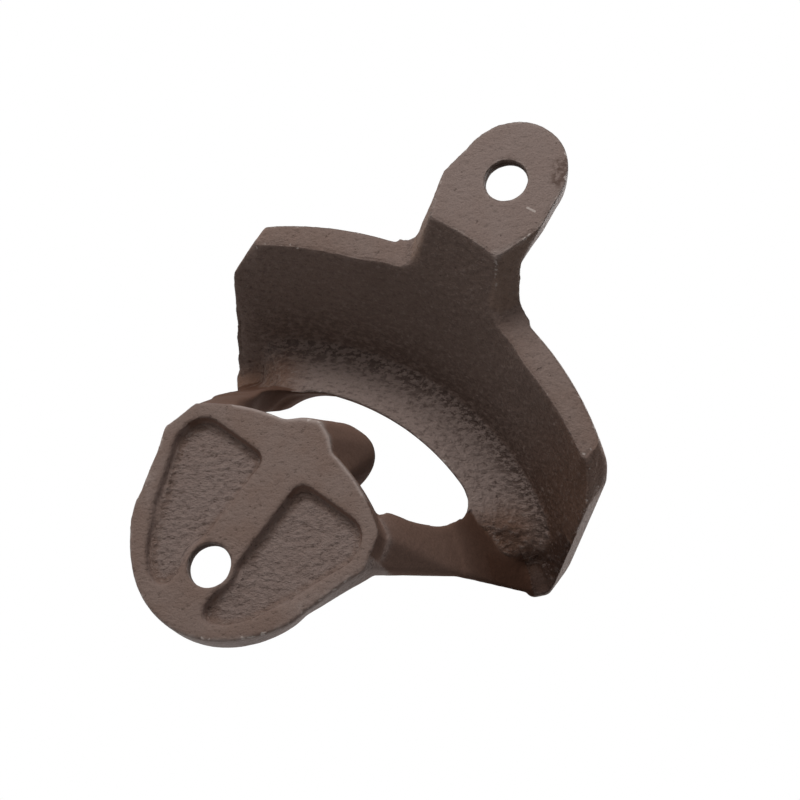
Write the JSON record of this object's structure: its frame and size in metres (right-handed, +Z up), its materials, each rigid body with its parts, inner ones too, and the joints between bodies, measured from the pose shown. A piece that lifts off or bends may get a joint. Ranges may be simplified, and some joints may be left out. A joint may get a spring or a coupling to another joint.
{
  "type": "wall-mounted bottle opener",
  "caption": "Cast wall-mounted bottle opener: curved hood with a lip above an open mouth, rising tooth, arms, pocketed screw plate below and round-topped screw tab above.",
  "frame": {"origin": "on the wall face, midway between the centres of the upper and the lower screw hole", "axes": "+Y points into the wall, -Y is the way the hood points, +Z is up from the lower to the upper screw hole, +X completes the right-handed frame"},
  "size_m": [0.0632, 0.0325, 0.0821],
  "materials": {
    "coated_iron": "sand-cast skin under a thin brown coating, matt to satin"
  },
  "bodies": {
    "root": {"opener_casting": "coated_iron"}
  },
  "joints": []
}
